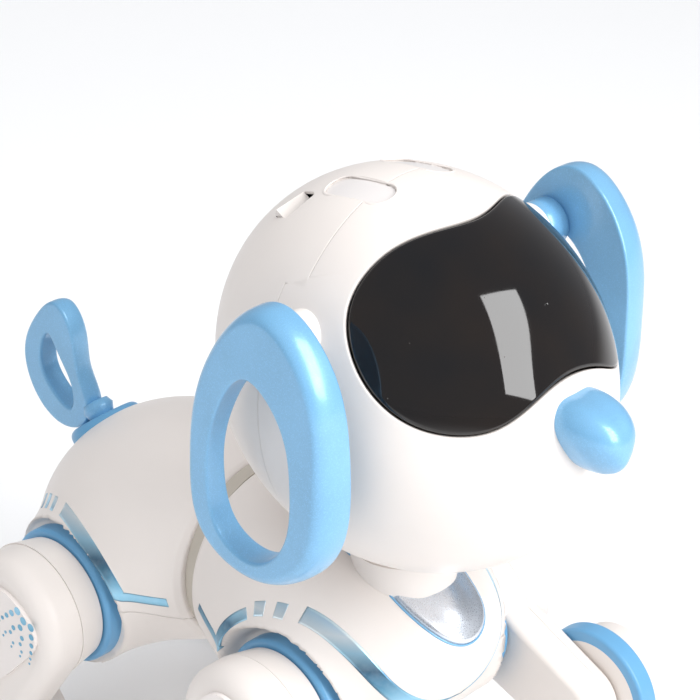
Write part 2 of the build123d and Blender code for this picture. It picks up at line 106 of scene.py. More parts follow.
EAR_OUTLINE = [(-57, 234.5), (-73.5, 222), (-80.5, 190), (-75.5, 159), (-51, 142.5), (-28, 151),
               (-23.5, 174), (-33, 214)]
EAR_HOLE = [(-50, 211), (-61.5, 203), (-66.5, 182), (-63, 161), (-50, 150.5), (-37, 155), (-32.5, 172),
            (-37.5, 197)]
EAR_X = (60.0, 72.0)
EAR_PIVOT = (-47.0, 214.0)
EAR_CENTRE = (-49.5, 178.0)
EAR_BOSS = [(0, 0), (7.6, 0), (8.0, 0.4), (8.0, 7.6), (0, 7.6)]
EAR_BOSS_X = 53.4
TAIL_OUTLINE = [(116, 148.5), (128, 140), (135, 121), (127, 105.5), (113, 101.5), (102, 110), (106.5, 126),
                (110.5, 143)]
TAIL_HOLE = [(121.5, 135), (126, 126), (121.5, 114.5), (111, 110.3), (110, 117), (116, 128)]
TAIL_CENTRE = (118.0, 122.0)
TAIL_X = (-4.0, 4.0)
TAIL_PIVOT = (0, 97.0, 108.0)
TAIL_LEAN = math.radians(40)
TAIL_STUB = [(0, -7), (4.0, -7), (4.0, 1.5), (4.6, 3.6), (5.6, 6.0), (4.4, 8.5), (0, 9.0)]

SHIELD_OUTLINE = [(0, 99), (10, 103.5), (14, 112), (12, 121), (0, 124), (-12, 121), (-14, 112), (-10, 103.5)]
SHIELD_C = np.array([0.0, 112.0])
BREAST_C = np.array([0.0, -30.0, 84.0])

DOT_ROWS = 6
DOT_R = 1.45            # in the first row; each next row is smaller by DOT_SHRINK
DOT_SHRINK = 0.79
DOT_FAN = (54.0, 86.0)  # y and z of the point that the rows of dots fan out from
DOT_SIDES = 28


# ---------------------------------------------------------------- curves
def spline(knots, values, at, closed=False):
    """A cubic curve with continuous curvature through values at the knots."""
    knots = np.asarray(knots, float)
    values = np.asarray(values, float).reshape(len(values), -1)
    last = len(knots) - 1
    steps = np.diff(knots)
    size = last if closed else last + 1
    matrix = np.zeros((size, size))
    right = np.zeros((size, values.shape[1]))
    slopes = np.diff(values, axis=0) / steps[:, None]
    for i in range(size):
        if not closed and i in (0, last):
            matrix[i, i] = 1.0
            continue
        before, after = steps[i - 1], steps[i]
        matrix[i, i - 1] += before
        matrix[i, i] += 2 * (before + after)
        matrix[i, (i + 1) % size] += after
        right[i] = 6 * (slopes[i] - slopes[i - 1])
    second = np.linalg.solve(matrix, right)
    if closed:
        second = np.vstack([second, second[:1]])
    at = np.asarray(at, float)
    i = np.clip(np.searchsorted(knots, at, side="right") - 1, 0, last - 1)
    h = steps[i][:, None]
    u = (at - knots[i])[:, None]
    low, high = second[i], second[i + 1]
    cubic = (low * (h - u) ** 3 + high * u ** 3) / (6 * h)
    return cubic + (values[i] / h - low * h / 6) * (h - u) + (values[i + 1] / h - high * h / 6) * u


def closed_curve(points, count):
    """count points evenly spaced along a smooth closed curve through the given ones."""
    ring = np.vstack([points, points[:1]]).astype(float)
    knots = np.concatenate([[0], np.cumsum(np.linalg.norm(np.diff(ring, axis=0), axis=1))])
    dense = spline(knots, ring, np.linspace(0, knots[-1], 4000), closed=True)
    along = np.concatenate([[0], np.cumsum(np.linalg.norm(np.diff(dense, axis=0), axis=1))])
    even = np.linspace(0, along[-1], count, endpoint=False)
    return np.stack([np.interp(even, along, dense[:, k]) for k in range(dense.shape[1])], axis=1)


def unit(v):
    return v / np.linalg.norm(v, axis=-1, keepdims=True)


# ---------------------------------------------------------------- meshes
def mesh_object(name, verts, faces, body, finish):
    """A smooth-shaded piece of this finish that rides on a CAD body. Its points are in millimetres."""
    mesh = bpy.data.meshes.new(name)
    mesh.from_pydata((np.asarray(verts, float) * MM).tolist(), [], faces)
    mesh.polygons.foreach_set("use_smooth", [True] * len(mesh.polygons))
    mesh.materials.append(finish)
    mesh.update()
    obj = bpy.data.objects.new(name, mesh)
    bpy.context.scene.collection.objects.link(obj)
    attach(obj, body)
    return obj


def grid_faces(rows, cols, close_rows=False, close_cols=True):
    faces = []
    for i in range(rows if close_rows else rows - 1):
        for j in range(cols if close_cols else cols - 1):
            k = (i + 1) % rows
            m = (j + 1) % cols
            faces.append((i * cols + j, i * cols + m, k * cols + m, k * cols + j))
    return faces


def weld(obj, distance=0.01):
    """Joins the doubled points of poles and seams, and turns every face outwards."""
    bm = bmesh.new()
    bm.from_mesh(obj.data)
    bmesh.ops.remove_doubles(bm, verts=bm.verts, dist=distance * MM)
    bmesh.ops.recalc_face_normals(bm, faces=bm.faces)
    bm.to_mesh(obj.data)
    bm.free()


def face_outwards(obj, centre):
    """Turns an open shell's faces so that they look away from the centre."""
    middle = Vector(centre) * MM
    total = sum((p.center - middle).dot(p.normal) * p.area for p in obj.data.polygons)
    if total < 0:
        obj.data.flip_normals()


def thicken(obj, wall=SHELL_WALL):
    """Gives an open shell its wall, inwards."""
    solid = obj.modifiers.new("wall", "SOLIDIFY")
    solid.thickness = wall * MM
    solid.offset = -1


def keep_side(obj, point, normal):
    """Cuts an open mesh with a plane and keeps the side that the normal points to."""
    bm = bmesh.new()
    bm.from_mesh(obj.data)
    everything = bm.verts[:] + bm.edges[:] + bm.faces[:]
    bmesh.ops.bisect_plane(bm, geom=everything, plane_co=Vector(point) * MM, plane_no=normal,
                           clear_inner=True, dist=1e-7)
    bm.to_mesh(obj.data)
    bm.free()


def carve(obj, cutter):
    """Applies the piece's modifiers, with a closed mesh cut out of it."""
    cut = obj.modifiers.new("cut", "BOOLEAN")
    cut.operation = "DIFFERENCE"
    cut.solver = "EXACT"
    cut.object = cutter
    bpy.context.view_layer.update()
    made = bpy.data.meshes.new_from_object(obj.evaluated_get(bpy.context.evaluated_depsgraph_get()))
    obj.modifiers.clear()
    obj.data = made
    bpy.data.objects.remove(cutter)


def prism_cutter(loop, low, high, place):
    """A closed prism for carve(): a loop of (x, y) points between two heights, moved by place()."""
    loop = np.asarray(loop, float)
    count = len(loop)
    points = place(np.vstack([np.column_stack([loop, np.full(count, h)]) for h in (low, high)]))
    faces = [(j, (j + 1) % count, count + (j + 1) % count, count + j) for j in range(count)]
    faces += [tuple(range(count))[::-1], tuple(range(count, 2 * count))]
    mesh = bpy.data.meshes.new("cutter")
    mesh.from_pydata((points * MM).tolist(), [], faces)
    cutter = bpy.data.objects.new("cutter", mesh)
    bpy.context.scene.collection.objects.link(cutter)
    return cutter


# ------------------------------------------------------------- materials
class Nodes:
    """Short names for building one procedural material."""

    def __init__(self, name):
        self.material = bpy.data.materials.new(name)
        self.material.use_nodes = True
        self.tree = self.material.node_tree
        self.shader = self.tree.nodes["Principled BSDF"]
        self.place = self.add("ShaderNodeTexCoord").outputs["Object"]

    def add(self, kind, **settings):
        node = self.tree.nodes.new(kind)
        for key, value in settings.items():
            setattr(node, key, value)
        return node

    def link(self, source, target):
        self.tree.links.new(source, target)

    def noise(self, size_mm, detail=2.0):
        node = self.add("ShaderNodeTexNoise")
        node.inputs["Scale"].default_value = 1 / (size_mm * MM)
        node.inputs["Detail"].default_value = detail
        self.link(self.place, node.inputs["Vector"])
        return node.outputs["Fac"]

    def spread(self, source, low, high, from_low=0.3, from_high=0.7):
        node = self.add("ShaderNodeMapRange")
        node.inputs["From Min"].default_value = from_low
        node.inputs["From Max"].default_value = from_high
        node.inputs["To Min"].default_value = low
        node.inputs["To Max"].default_value = high
        self.link(source, node.inputs["Value"])
        return node.outputs["Result"]

    def mix(self, factor, first, second):
        node = self.add("ShaderNodeMix", data_type="RGBA")
        self.link(factor, node.inputs["Factor"])
        for value, socket in ((first, node.inputs[6]), (second, node.inputs[7])):
            if isinstance(value, tuple):
                socket.default_value = (*value, 1.0)
            else:
                self.link(value, socket)
        return node.outputs[2]

    def bump(self, layers):
        """Stacks (height, depth in mm) layers into one normal."""
        normal = None
        for height, depth in layers:
            node = self.add("ShaderNodeBump")
            node.inputs["Distance"].default_value = depth * MM
            self.link(height, node.inputs["Height"])
            if normal is not None:
                self.link(normal, node.inputs["Normal"])
            normal = node.outputs["Normal"]
        self.link(normal, self.shader.inputs["Normal"])

    def set(self, **values):
        names = {"metallic": "Metallic", "ior": "IOR", "specular": "Specular IOR Level",
                 "coat": "Coat Weight", "coat_roughness": "Coat Roughness"}
        for key, value in values.items():
            self.shader.inputs[names[key]].default_value = value


def moulded(name, colour, rough, vary=0.03, patch=38.0, grain=0.35, grain_depth=0.004, flow=0.01, **settings):
    """Moulded plastic: soft drifts of tone and gloss, a fine grain and a faint flow unevenness."""
    n = Nodes(name)
    darker = tuple(c * (1 - vary) for c in colour)
    lighter = tuple(min(1.0, c * (1 + vary)) for c in colour)
    drift = n.noise(patch, detail=3)
    n.link(n.mix(n.spread(drift, 0, 1), darker, lighter), n.shader.inputs["Base Color"])
    n.link(n.spread(n.noise(6.0, detail=4), rough - 0.04, rough + 0.05), n.shader.inputs["Roughness"])
    n.bump([(n.noise(9.0, detail=1), flow), (n.noise(grain, detail=2), grain_depth)])
    n.set(**settings)
    return n.material


def flake_blue(name, colour):
    """Glossy blue with a fine metallic flake under a clear layer."""
    n = Nodes(name)
    flakes = n.add("ShaderNodeTexVoronoi")
    flakes.inputs["Scale"].default_value = 1 / (0.28 * MM)
    n.link(n.place, flakes.inputs["Vector"])
    grey = n.add("ShaderNodeRGBToBW")
    n.link(flakes.outputs["Color"], grey.inputs["Color"])
    sparkle = n.spread(grey.outputs["Val"], 0.0, 1.0, 0.55, 0.95)
    deep = tuple(c * 0.94 for c in colour)
    light = tuple(min(1.0, c * 1.06) for c in colour)
    base = n.mix(n.spread(n.noise(22.0, detail=2), 0, 1), deep, light)
    bright = tuple(min(1.0, c * 1.25 + 0.04) for c in colour)
    n.link(n.mix(n.spread(sparkle, 0, 0.6, 0, 1), base, bright), n.shader.inputs["Base Color"])
    n.link(n.spread(sparkle, 0.1, 0.5, 0, 1), n.shader.inputs["Metallic"])
    n.link(n.spread(n.noise(5.0, detail=3), 0.30, 0.38), n.shader.inputs["Roughness"])
    n.bump([(n.noise(7.0, detail=1), 0.012), (grey.outputs["Val"], 0.006)])
    n.set(coat=0.55, coat_roughness=0.12)
    return n.material


def visor_black(name):
    """Polished smoked plastic, almost black, with a few specks of dust."""
    n = Nodes(name)
    specks = n.add("ShaderNodeTexVoronoi")
    specks.inputs["Scale"].default_value = 1 / (9.0 * MM)
    n.link(n.place, specks.inputs["Vector"])
    dust = n.spread(specks.outputs["Distance"], 1.0, 0.0, 0.012, 0.022)
    haze = n.mix(n.spread(n.noise(30.0, detail=2), 0, 1), (0.003, 0.003, 0.004), (0.010, 0.006, 0.004))
    n.link(n.mix(dust, haze, (0.12, 0.11, 0.10)), n.shader.inputs["Base Color"])
    n.link(n.spread(n.noise(14.0, detail=4), 0.035, 0.075), n.shader.inputs["Roughness"])
    n.bump([(n.noise(26.0, detail=0), 0.05), (dust, 0.02)])
    n.set(ior=1.6)
    return n.material


# The foil's blue with painted reflection: heights in mm and their colours, dark and pale bands that stand in
# for the room mirrored in the foil.
FOIL_REFLECTION_STEPS = [(78, (0.13, 0.36, 0.52)), (84, (0.30, 0.58, 0.76)), (90, (0.12, 0.30, 0.44)),
              (95, (0.06, 0.15, 0.24)), (100, (0.40, 0.68, 0.85)), (104, (0.86, 0.96, 1.0)),
              (110, (0.40, 0.66, 0.84))]


def foil(name):
    """Hot-stamped blue foil with painted reflection: its colour runs from dark steel blue to pale blue with
    height.
    """
    n = Nodes(name)
    parts = n.add("ShaderNodeSeparateXYZ")
    n.link(n.place, parts.inputs["Vector"])
    low, high = FOIL_REFLECTION_STEPS[0][0], FOIL_REFLECTION_STEPS[-1][0]
    height = n.spread(parts.outputs["Z"], 0, 1, low * MM, high * MM)
    # painted reflection: the foil's colour is set by height alone, in dark and pale bands
    reflection_ramp = n.add("ShaderNodeValToRGB")
    elements = reflection_ramp.color_ramp.elements
    while len(elements) < len(FOIL_REFLECTION_STEPS):
        elements.new(0.5)
    for element, (z, colour) in zip(elements, FOIL_REFLECTION_STEPS):
        element.position = (z - low) / (high - low)
        element.color = (*colour, 1.0)
    n.link(height, reflection_ramp.inputs["Fac"])
    worn = n.spread(n.noise(2.4, detail=2), 0, 0.10)
    n.link(n.mix(worn, reflection_ramp.outputs["Color"], (0.75, 0.80, 0.84)), n.shader.inputs["Base Color"])
    n.link(n.spread(n.noise(1.6, detail=3), 0.28, 0.36), n.shader.inputs["Roughness"])
    n.bump([(n.noise(0.8, detail=1), 0.002)])
    n.set(metallic=0.75)
    return n.material


def satin_silver(name):
    """The chest shield: satin metallised plastic, bluish towards its rim."""
    n = Nodes(name)
    tone = n.mix(n.spread(n.noise(14.0, detail=2), 0, 1), (0.66, 0.71, 0.78), (0.80, 0.83, 0.88))
    n.link(tone, n.shader.inputs["Base Color"])
    n.link(n.spread(n.noise(0.35, detail=2), 0.24, 0.40), n.shader.inputs["Roughness"])
    n.bump([(n.noise(0.3, detail=1), 0.006)])
    n.set(metallic=0.9)
    return n.material


def steel(name):
    n = Nodes(name)
    n.link(n.mix(n.noise(3.0, detail=3), (0.48, 0.48, 0.50), (0.66, 0.66, 0.68)), n.shader.inputs["Base Color"])
    n.link(n.spread(n.noise(0.6, detail=4), 0.22, 0.40), n.shader.inputs["Roughness"])
    n.bump([(n.noise(0.4, detail=2), 0.003)])
    n.set(metallic=1.0)
    return n.material


FINISH = {
    "white_shell": moulded("white_shell", (0.80, 0.745, 0.705), 0.40, vary=0.02, specular=0.42),
    "panel_white": moulded("panel_white", (0.82, 0.765, 0.735), 0.34, vary=0.02, specular=0.45),
    "sole_rubber": moulded("sole_rubber", (0.055, 0.058, 0.062), 0.78, vary=0.14, grain=0.5, grain_depth=0.03),
    "flake_blue": flake_blue("flake_blue", (0.18, 0.42, 0.66)),
    "ring_blue": moulded("ring_blue", (0.135, 0.36, 0.60), 0.36, vary=0.04, grain_depth=0.006),
    "visor_black": visor_black("visor_black"),
    "shield_silver": satin_silver("shield_silver"),
    "waist_grey": moulded("waist_grey", (0.52, 0.475, 0.41), 0.42, vary=0.04),
    "pad_frost": moulded("pad_frost", (0.76, 0.725, 0.71), 0.34, vary=0.02),
    "steel": steel("steel"),
    "board_green": moulded("board_green", (0.02, 0.16, 0.07), 0.35, vary=0.15, grain=1.2, grain_depth=0.02),
    "battery_wrap": moulded("battery_wrap", (0.06, 0.11, 0.28), 0.25, vary=0.08, flow=0.05),
    "black_plastic": moulded("black_plastic", (0.025, 0.025, 0.028), 0.45, vary=0.15, grain_depth=0.015),
}
FOIL = foil("foil_blue")
SHELL = FINISH["white_shell"]


def paint_frame():
    """Every CAD node takes the finish of its own slot, which the replaced ones hide."""
    for part in frame["record"]["subparts"]:
        mesh = NODES[part["node"]].data
        mesh.materials.clear()
        mesh.materials.append(FINISH[part["material_slot"]])


# ------------------------------------------------------------------ body
def profile(sections, y):
    """Centre height, half width and half height at y. Squares are interpolated, so the ends are round."""
    rows = np.array(sections)
    at = np.clip(y, rows[0, 0], rows[-1, 0])
    centre = spline(rows[:, 0], rows[:, 1], at)[:, 0]
    wide = np.interp(at, rows[:, 0], rows[:, 2] ** 2)
    smooth = spline(rows[:, 0], rows[:, 2:] ** 2, at)
    sizes = np.sqrt(np.maximum(np.where(wide[:, None] > 1, smooth, np.minimum(smooth, wide[:, None])), 1e-4))
    return centre, sizes[:, 0], sizes[:, 1]


def soft_max(a, b, width):
    gap = np.maximum(width - np.abs(a - b), 0) / width
    return np.maximum(a, b) + gap * gap * width / 4


def body_value(points, sections, hip_y, seat_x):
    """Below zero inside the body: a barrel, with a tube across it for the hips and a flat seat at each end."""
    x, y, z = points.reshape(-1, 3).T
    centre, half_w, half_h = profile(sections, y)
    barrel = (np.hypot(x / half_w, (z - centre) / half_h) - 1) * half_h
    radial = np.hypot(y - hip_y, z - HIP_Z)
    tube = np.maximum(radial - HIP_TUBE_R, np.abs(x) - seat_x - 8)
    joined = -soft_max(-barrel, -tube, 7.0)
    flare = 2.6 * np.maximum(radial - HIP_TUBE_R + 0.7, 0)
    seat = np.abs(x) - (seat_x + flare)
    return soft_max(joined, seat, 1.6).reshape(points.shape[:-1])


BODY = {
    "front": lambda p: body_value(p, FRONT_SECTIONS, FRONT_HIP_Y, FRONT_SEAT_X),
    "rear": lambda p: body_value(p, REAR_SECTIONS, REAR_HIP_Y, REAR_SEAT_X),
}


def body_grid(end, sections, waist_y, tip_y):
    """Rings from the waist's rolled lip to the closed tip."""
    columns = 300
    rows = 150
    share = np.linspace(0, 1, rows)
    ys = waist_y + (tip_y - waist_y) * np.sin(share * math.pi / 2) ** 1.15
    ys[-1] = tip_y + (waist_y - tip_y) * 1e-5
    turn = np.linspace(0, 2 * math.pi, columns, endpoint=False)
    out = np.stack([np.cos(turn), np.zeros(columns), np.sin(turn)], axis=1)
    outs = np.broadcast_to(out, (rows, columns, 3))
    origins = np.zeros((rows, columns, 3))
    origins[..., 1] = ys[:, None]
    origins[..., 2] = profile(sections, ys)[0][:, None]
    points = origins + outs * march(BODY[end], origins, outs, BODY_REACH)[..., None]
    towards_tip = 1 if tip_y > waist_y else -1
    lip = []
    for angle in np.radians([90, 72, 54, 36, 18]):
        ring = points[0] - out * LIP_ROUND * (1 - math.cos(angle))
        ring[:, 1] = waist_y + towards_tip * LIP_ROUND * (1 - math.sin(angle))
        lip.append(ring)
    rim = lip[0] - out * 4.0
    return np.vstack([[rim], lip, points[np.abs(ys - waist_y) > LIP_ROUND]])


def march(value, origins, directions, reach):
    """How far out along each direction the body's surface is, from origins inside it."""
    def along(t):
        return origins + directions * (t[..., None] if np.ndim(t) else t)
    far = np.full(origins.shape[:-1], reach, float)
    near = np.zeros_like(far)
    found = np.zeros(far.shape, bool)
    for t in np.linspace(reach, 0, 90):
        inside = value(along(t)) < 0
        near = np.where(inside & ~found, t, near)
        far = np.where(~found & ~inside, t, far)
        found |= inside
    for _ in range(18):
        middle = (near + far) / 2
        inside = value(along(middle)) < 0
        near = np.where(inside, middle, near)
        far = np.where(inside, far, middle)
    return near


def build_body():
    for end, sections, waist, tip in (("front", FRONT_SECTIONS, -1, 0), ("rear", REAR_SECTIONS, 0, -1)):
        waist_y, tip_y = sections[waist][0], sections[tip][0]
        points = body_grid(end, sections, waist_y, tip_y)
        faces = grid_faces(len(points), points.shape[1])
        middle = (0, (waist_y + tip_y) / 2, 85)
        for half, sign in (("upper", 1), ("lower", -1)):
            node = f"{end}_{half}_shell"
            shell = mesh_object(node + "_skin", points.reshape(-1, 3), faces, "torso", SHELL)
            face_outwards(shell, middle)
            keep_side(shell, (0, 0, SEAM_Z + sign * SEAM_GAP / 2), (0, 0, sign))
            thicken(shell)
            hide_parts(node)


# ------------------------------------------------------------------ foil
def side_points(end, line, side):
    """Where (y, z) points land on the flank of the body, seen along X."""
    origins = np.stack([np.zeros(len(line)), line[:, 0], line[:, 1]], axis=1)
    out = np.broadcast_to(np.array([side, 0.0, 0.0]), origins.shape)
    reach = march(BODY[end], origins, out, 60.0)
    return origins + out * reach[:, None]


def strip(name, end, line, width, side):
    """A foil strip of this width whose middle follows a (y, z) line on the body's flank."""
    line = np.asarray(line, float)
    along = unit(np.gradient(line, axis=0))
    across = np.stack([-along[:, 1], along[:, 0]], axis=1)
    lanes = np.linspace(-0.5, 0.5, 7)
    width = np.broadcast_to(width, len(line))
    rows = [side_points(end, line + across * (lane * width)[:, None], side) for lane in lanes]
    grid = np.array(rows)
    du = np.gradient(grid, axis=0)
    dv = np.gradient(grid, axis=1)
    normal = unit(np.cross(du, dv))
    normal *= np.sign(normal[..., :1] * side + 1e-9)
    grid = grid + normal * FOIL_RISE
    obj = mesh_object(name, grid.reshape(-1, 3), grid_faces(*grid.shape[:2], close_cols=False), "torso", FOIL)
    middle = grid.reshape(-1, 3).mean(0) - np.array([side * 30, 0, 0])
    face_outwards(obj, middle)
    thicken(obj, FOIL_THICK)


def arc(hip_y, start, end, r_start, r_end, steps=60):
    """Points round a hip, from one angle to another, in degrees from +Y towards +Z."""
    turn = np.radians(np.linspace(start, end, steps))
    radius = np.linspace(r_start, r_end, steps)
    return np.stack([hip_y + radius * np.cos(turn), HIP_Z + radius * np.sin(turn)], axis=1)


def straight(*corners):
    """A finely divided path through a few corners."""
    corners = np.array(corners, float)
    parts = [np.linspace(a, b, 30, endpoint=False) for a, b in zip(corners[:-1], corners[1:])]
    return np.vstack(parts + [corners[-1:]])


def build_foil():
    for side, word in ((-1, "right"), (1, "left")):
        rear = np.vstack([arc(REAR_HIP_Y, 86, 157, 31.5, 29.5), straight((41.0, 83.2), (27.0, 84.0))])
        strip(f"rear_{word}_stripe", "rear", rear, 3.6, side)
        for k, angle in enumerate((76.0, 66.0, 56.0)):
            line = arc(REAR_HIP_Y, angle, angle - 4.5, 31.2, 31.2, 12)
            strip(f"rear_{word}_dash_{k}", "rear", line, 3.6, side)
        strip(f"front_{word}_stripe", "front", arc(FRONT_HIP_Y, 96, 172, 35.0, 37.5), 4.4, side)
        for k, angle in enumerate((86.5, 73.5)):
            line = arc(FRONT_HIP_Y, angle, angle - 6.5, 34.0, 34.0, 12)
            strip(f"front_{word}_dash_{k}", "front", line, 4.2, side)
        strip(f"front_{word}_hook", "front", arc(FRONT_HIP_Y, 62, 26, 33.0, 30.5), 3.6, side)
        strip(f"front_{word}_tick", "front", straight((10.5, 91.0), (1.5, 87.0), (-3.5, 83.0)), 3.2, side)


def build_dots():
    """A fan of foil dots on each rear thigh panel, large at the top and tiny at the bottom."""
    for side, word in ((-1, "right"), (1, "left")):
        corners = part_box(f"rear_{word}_thigh_panel")
        face_x = max(abs(corner.x) for corner in corners) / MM
        verts, faces = [], []
        for row in range(DOT_ROWS):
            radius = DOT_R * DOT_SHRINK ** row
            last = 2 + row // 2
            reach = 7.0 + 4.0 * row * (1 - 0.05 * row)
            for k in range(last + 1):
                angle = math.radians(-62) + (k / last - 0.5) * (1.10 - 0.05 * row)
                y = DOT_FAN[0] + reach * math.cos(angle)
                z = DOT_FAN[1] + reach * math.sin(angle)
                low = len(verts)
                top = low + DOT_SIDES
                for level in (0.0, FOIL_THICK):
                    for turn in np.linspace(0, 2 * math.pi, DOT_SIDES, endpoint=False):
                        verts.append((side * (face_x + level), y + radius * math.cos(turn),
                                      z + radius * math.sin(turn)))
                for j in range(DOT_SIDES):
                    k = (j + 1) % DOT_SIDES
                    faces.append((low + j, low + k, top + k, top + j))
                faces += [tuple(range(low, top))[::-1], tuple(range(top, top + DOT_SIDES))]
        dots = mesh_object(f"rear_{word}_panel_dots", verts, faces, f"rear_{word}_thigh", FOIL)
        dots.data.polygons.foreach_set("use_smooth", [False] * len(dots.data.polygons))
        weld(dots, 0.0001)


# ----------------------------------------------------------- chest shield
def build_shield():
    """A domed tongue of satin silver on the breast, with a thin blue edge."""
    outline = closed_curve(np.array(SHIELD_OUTLINE, float), 160)
    shares = np.concatenate([np.linspace(0.02, 0.84, 26), np.linspace(0.87, 1.0, 9)])

    def surface(scale, rise):
        flat = SHIELD_C + (outline - SHIELD_C) * scale
        origins = np.stack([flat[:, 0], np.full(len(flat), -20.0), flat[:, 1]], axis=1)
        out = np.broadcast_to(np.array([0.0, -1.0, 0.0]), origins.shape)
        reach = march(BODY["front"], origins, out, BODY_REACH)
        landed = origins + out * reach[:, None]
        away = unit(landed - BREAST_C)
        return landed + away * rise

    rows = []
    for s in shares:
        edge = np.clip((1 - s) / 0.14, 0, 1)
        dish = 0.5 * math.exp(-((s - 0.55) / 0.22) ** 2)
        rows.append(surface(s, 1.5 * math.sqrt(1 - (1 - edge) ** 2) - dish - 0.15))
    rows = np.array(rows)
    shield = mesh_object("chest_shield_dome", rows.reshape(-1, 3), grid_faces(*rows.shape[:2]), "torso",
                         FINISH["shield_silver"])
    weld(shield, 0.001)
    face_outwards(shield, BREAST_C)
    thicken(shield, 0.8)
    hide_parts("chest_shield")
    section = ((1.0, 0.0), (1.015, 0.45), (1.045, 0.45), (1.06, 0.0), (1.03, -0.3))
    ring = np.array([surface(scale, rise) for scale, rise in section])
    faces = grid_faces(*ring.shape[:2], close_rows=True)
    edge = mesh_object("chest_shield_edge", ring.reshape(-1, 3), faces, "torso", FINISH["flake_blue"])
    weld(edge, 0.001)


# ------------------------------------------------------------------ head
FORWARD = np.array([0.0, -math.cos(VISOR_TILT), math.sin(VISOR_TILT)])
UPWARD = np.array([0.0, math.sin(VISOR_TILT), math.cos(VISOR_TILT)])
SIDEWAYS = np.array([1.0, 0.0, 0.0])
AXIS = unit(FORWARD / HEAD_R)


def lobe(directions, towards, width_deg, height):
    """A smooth rise of this height in mm about one direction."""
    near = np.clip(directions @ unit(np.array(towards, float)), -1, 1)
    return height * np.exp(-(np.degrees(np.arccos(near)) / width_deg) ** 2)


def head_point(directions, rise=0.0):
    """The head's surface: an ellipsoid with a little chin, and a slight hollow above the nose."""
    shape = lobe(directions, (0, -0.93, -0.42), 26, 2.4) + lobe(directions, (0, -0.93, 0.36), 14, -1.2)
    swell = 1 + (shape + rise) / SWELL_R
    return HEAD_C + directions * HEAD_R * swell[..., None]


def goggle_directions(count):
    """Directions from the head's centre to the goggle outline."""
    loop = closed_curve(np.array(GOGGLE_OUTLINE, float), count)
    offset = loop[:, :1] * SIDEWAYS + loop[:, 1:] * UPWARD
    o = offset / HEAD_R
    d = FORWARD / HEAD_R
    a = d @ d
    b = o @ d
    c = (o ** 2).sum(1) - 1
    s = (-b + np.sqrt(b * b - a * c)) / a
    return unit(o + s[:, None] * d)


def goggle_rays(count):
    """Angle of the outline from the goggle's axis, and the direction square to the axis, for each column."""
    edge = goggle_directions(count)
    angle = np.arccos(np.clip(edge @ AXIS, -1, 1))
    square = unit(edge - np.cos(angle)[:, None] * AXIS)
    return angle, square


def along_ray(angle, square):
    """Unit directions at these angles from the goggle's axis."""
    return np.cos(angle)[..., None] * AXIS + np.sin(angle)[..., None] * square


def seam_share(around):
    """The head seam's place along Y, as a share of the head's half length, at angles from the crown."""
    turn = np.abs(np.degrees(around))
    step = np.clip((turn - SEAM_JOG_ANGLE) / 0.8, 0, 1)
    y = HEAD_SEAM_Y + SEAM_JOG * step * step * (3 - 2 * step)
    return (y - HEAD_C[1]) / HEAD_R[1]


def press_recesses(points):
    """Sinks the places under the touch pads, whose lips cover the step."""
    flat = points[..., :2]
    reach = (PAD_SIZE[1] - PAD_SIZE[0]) / 2
    inside = np.zeros(points.shape[:-1], bool)
    for side in (-1, 1):
        x = flat[..., 0] - side * PAD_X
        y = np.maximum(np.abs(flat[..., 1] - PAD_Y) - reach, 0)
        inside |= np.hypot(x, y) < PAD_SIZE[0] / 2 + PAD_RIM
    inside &= points[..., 2] > HEAD_C[2]
    return points - unit(points - HEAD_C) * np.where(inside, PAD_DEPTH, 0.0)[..., None]


def build_front_shell():
    columns = 900
    start, square = goggle_rays(columns)
    start = start + 0.75 / MEAN_R
    low, high = start.copy(), np.full(columns, math.pi * 0.98)
    gap = SEAM_GAP / 2 / HEAD_R[1]
    for _ in range(40):
        middle = (low + high) / 2
        d = along_ray(middle, square)
        past = d[:, 1] > seam_share(np.arctan2(d[:, 0], d[:, 2])) - gap
        high = np.where(past, middle, high)
        low = np.where(past, low, middle)
    finish = low
    rows = []
    for sink, back in ((2.6, 0.0), (0.55, 0.0), (0.28, 0.08), (0.08, 0.28), (0.0, 0.55)):
        rows.append(head_point(along_ray(start + back / MEAN_R, square), -sink))
    first = start + 0.55 / MEAN_R
    for s in np.linspace(0, 1, 110)[1:]:
        angle = first + (finish - first) * s
        rows.append(head_point(along_ray(angle, square)))
    rows.append(head_point(along_ray(finish, square), -RIM_DEPTH))
    rows = press_recesses(np.array(rows))
    shell = mesh_object("head_front_skin", rows.reshape(-1, 3), grid_faces(*rows.shape[:2]), "head", SHELL)
    face_outwards(shell, HEAD_C)
    thicken(shell, HEAD_WALL)
    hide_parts("head_front_shell")


def build_rear_shell():
    columns = 900
    around = np.linspace(-math.pi, math.pi, columns, endpoint=False)
    gap = SEAM_GAP / 2 / HEAD_R[1]
    start = np.arccos(seam_share(around) + gap)
    ring = np.stack([np.sin(around), np.zeros(columns), np.cos(around)], axis=1)
    pole = np.array([0.0, 1.0, 0.0])
    rows = []
    first = np.cos(start)[:, None] * pole + np.sin(start)[:, None] * ring
    rows.append(head_point(first, -RIM_DEPTH))
    for s in np.concatenate([np.linspace(1, 0.76, 90), np.linspace(0.76, 0.004, 80)[1:]]):
        angle = start * s
        d = np.cos(angle)[:, None] * pole + np.sin(angle)[:, None] * ring
        rows.append(head_point(d))
    rows = press_recesses(np.array(rows))
    shell = mesh_object("head_rear_skin", rows.reshape(-1, 3), grid_faces(*rows.shape[:2]), "head", SHELL)
    face_outwards(shell, HEAD_C)
    thicken(shell, HEAD_WALL)
    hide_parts("head_rear_shell")
    return shell


def capsule(side, grow):
    """The outline of a touch pad, seen from above."""
    radius = PAD_SIZE[0] / 2 + grow
    reach = (PAD_SIZE[1] - PAD_SIZE[0]) / 2
    turn = np.linspace(0, math.pi, 40)
    back = np.stack([radius * np.cos(turn), reach + radius * np.sin(turn)], axis=1)
    loop = np.vstack([back, -back])
    return loop + (side * PAD_X, PAD_Y)


